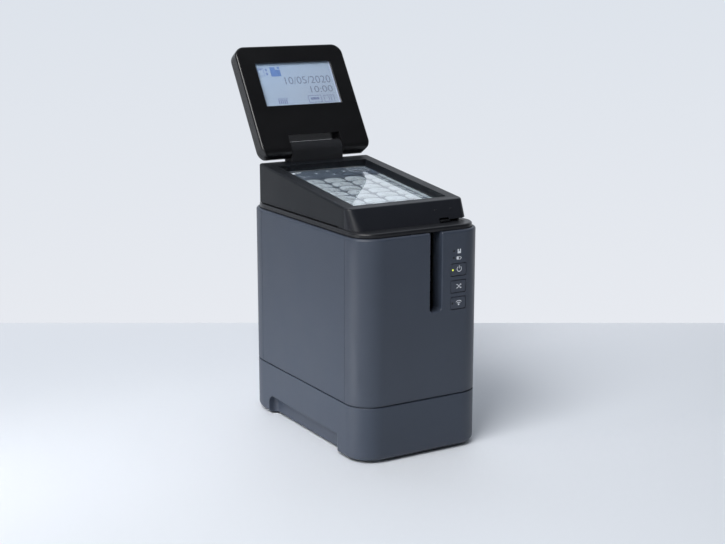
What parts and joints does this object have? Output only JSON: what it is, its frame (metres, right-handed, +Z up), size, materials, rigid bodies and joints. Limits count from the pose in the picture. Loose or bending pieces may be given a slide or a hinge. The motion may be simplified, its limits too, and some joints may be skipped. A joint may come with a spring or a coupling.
{
  "type": "label printer",
  "caption": "Desktop label printer on a battery base, with a hinged top cover that carries a touch key tray and a tilting display.",
  "frame": {"origin": "on the table, under the middle of the whole machine with its leaning display", "axes": "+Z up from the table, +Y from the front cover to the rear, +X to the right as seen from the front"},
  "size_m": [0.113, 0.226, 0.302],
  "materials": {
    "grey_case": "fine grained blue-grey moulding",
    "dark_front": "fine grained dark slate moulding",
    "base_plate": "grained black moulding",
    "battery_case": "matt black moulding",
    "foot_rubber": "matt black rubber",
    "steel_fastener": "bright plated steel",
    "circuit_board": "green solder mask",
    "connector_black": "black connector moulding",
    "connector_shell": "tinned sheet steel",
    "button_grey": "fine grained dark slate moulding",
    "lamp_lens": "dark smoked light pipe",
    "lamp_lit": "lit green light pipe",
    "tub_black": "grained black moulding",
    "plated_steel": "zinc plated sheet steel",
    "gear_plastic": "white acetal moulding",
    "gear_brass": "turned brass",
    "roller_shaft": "ground steel",
    "roller_rubber": "ground black rubber",
    "heat_sink_metal": "plain extruded aluminium",
    "head_ceramic": "glazed ceramic",
    "blade_steel": "ground blade steel",
    "gloss_black": "polished black moulding",
    "latch_black": "black moulding",
    "tray_dark": "fine grained near-black moulding",
    "key_print": "printed key sheet",
    "clear_cover": "clear acrylic",
    "display_black": "polished black moulding",
    "display_panel": "lit liquid crystal panel"
  },
  "bodies": {
    "printer": {"base_shell": "grey_case", "base_bottom_plate": "base_plate", "battery_pack": "battery_case", "battery_cover": "base_plate", "rubber_feet": "foot_rubber", "coin_screws": "steel_fastener", "base_board": "circuit_board", "dock_connector": "connector_black", "front_cover": "dark_front", "left_side_panel": "grey_case", "right_side_panel": "grey_case", "rear_cover": "grey_case", "bottom_chassis": "tub_black", "main_board": "circuit_board", "port_board": "circuit_board", "dc_jack": "connector_black", "usb_ports": "connector_shell", "modular_ports": "connector_shell", "panel_lamps": "lamp_lens", "button_board": "circuit_board", "cassette_tub": "tub_black", "gear_plate": "plated_steel", "case_screws": "steel_fastener", "drive_motor": "plated_steel", "holder_pivot_pin": "steel_fastener", "heat_sink": "heat_sink_metal", "print_head": "head_ceramic", "cutter_frame": "plated_steel", "cutter_motor": "plated_steel", "rear_deck": "gloss_black", "cover_hinge_pins": "steel_fastener"},
    "cover": {"cover_plate": "gloss_black", "tray_shell": "tray_dark", "nose_cap": "gloss_black", "key_sheet": "key_print", "touch_glass": "clear_cover", "touch_board": "circuit_board", "hinge_block": "display_black", "display_shaft": "steel_fastener", "latch_pin": "steel_fastener"},
    "display": {"display_bezel": "display_black", "display_back_cover": "display_black", "display_window": "clear_cover", "lcd_module": "display_panel", "display_board": "circuit_board"},
    "latch": {"cover_latch": "latch_black"},
    "power_key": {"power_button": "button_grey", "power_lamp": "lamp_lit"},
    "feed_cut_key": {"feed_cut_button": "button_grey"},
    "wireless_key": {"wireless_button": "button_grey", "wireless_lamp": "lamp_lens"},
    "roller_holder": {"roller_holder": "tub_black"},
    "platen": {"platen_shaft": "roller_shaft", "platen_rubber": "roller_rubber"},
    "feed_shaft": {"feed_shaft": "gear_plastic"},
    "idler": {"idler_gear": "gear_plastic"},
    "motor_pinion": {"motor_pinion": "gear_brass"},
    "ribbon_spindle": {"ribbon_spindle": "gear_plastic"},
    "cutter_blade": {"cutter_blade": "blade_steel"},
    "cutter_pinion": {"cutter_pinion": "gear_brass"}
  },
  "joints": [
    {"name": "cover_hinge", "type": "hinge", "parent": "printer", "child": "cover", "pos_m": [0, 0.06304, 0.1744], "axis": [-1, 0, 0], "range_deg": [0, 75]},
    {"name": "display_tilt", "type": "hinge", "parent": "cover", "child": "display", "pos_m": [0, 0.05734, 0.2186], "axis": [1, 0, 0], "range_deg": [-15, 128]},
    {"name": "latch_lift", "type": "hinge", "parent": "cover", "child": "latch", "pos_m": [0.031, -0.08896, 0.1798], "axis": [-1, 0, 0], "range_deg": [0, 6], "stiffness_Nm_per_rad": 0.02, "springref_deg": -6.88},
    {"name": "power_press", "type": "hinge", "parent": "printer", "child": "power_key", "pos_m": [0.025, -0.11166, 0.1432], "axis": [0, 0, 1], "range_deg": [0, 3], "stiffness_Nm_per_rad": 0.6, "springref_deg": -1.15},
    {"name": "feed_cut_press", "type": "hinge", "parent": "printer", "child": "feed_cut_key", "pos_m": [0.025, -0.11166, 0.13015], "axis": [0, 0, 1], "range_deg": [0, 3], "stiffness_Nm_per_rad": 0.6, "springref_deg": -1.15},
    {"name": "wireless_press", "type": "hinge", "parent": "printer", "child": "wireless_key", "pos_m": [0.025, -0.11166, 0.1171], "axis": [0, 0, 1], "range_deg": [0, 3], "stiffness_Nm_per_rad": 0.6, "springref_deg": -1.15},
    {"name": "roller_swing", "type": "hinge", "parent": "printer", "child": "roller_holder", "pos_m": [0.0245, -0.06196, 0.1365], "axis": [0, 0, 1], "range_deg": [0, 8]},
    {"name": "platen_spin", "type": "hinge", "parent": "roller_holder", "child": "platen", "pos_m": [0.0154, -0.07096, 0.138], "axis": [0, 0, 1], "continuous": true},
    {"name": "idler_spin", "type": "hinge", "parent": "printer", "child": "idler", "pos_m": [-0.00762, -0.0449, 0.104], "axis": [0, 0, 1], "continuous": true},
    {"name": "pinion_spin", "type": "hinge", "parent": "printer", "child": "motor_pinion", "pos_m": [-0.02564, -0.05752, 0.104], "axis": [0, 0, 1], "continuous": true},
    {"name": "feed_spin", "type": "hinge", "parent": "printer", "child": "feed_shaft", "pos_m": [0.00781, -0.06328, 0.104], "axis": [0, 0, 1], "continuous": true},
    {"name": "spindle_spin", "type": "hinge", "parent": "printer", "child": "ribbon_spindle", "pos_m": [-0.00989, -0.019, 0.104], "axis": [0, 0, 1], "continuous": true},
    {"name": "blade_slide", "type": "slide", "parent": "printer", "child": "cutter_blade", "axis": [1, 0, 0], "range_m": [0, 0.005]},
    {"name": "cutter_pinion_spin", "type": "hinge", "parent": "printer", "child": "cutter_pinion", "pos_m": [0.003, -0.08976, 0.1015], "axis": [0, 1, 0], "range_deg": [0, 48]}
  ],
  "couplings": [
    {"joint": "roller_swing", "follows": "cover_hinge", "ratio": 0.10667},
    {"joint": "pinion_spin", "follows": "idler_spin", "ratio": -2.6667},
    {"joint": "feed_spin", "follows": "idler_spin", "ratio": -2},
    {"joint": "spindle_spin", "follows": "idler_spin", "ratio": -1.6},
    {"joint": "platen_spin", "follows": "idler_spin", "ratio": 2.5},
    {"joint": "cutter_pinion_spin", "follows": "blade_slide", "rad_per_m": 166.67}
  ]
}
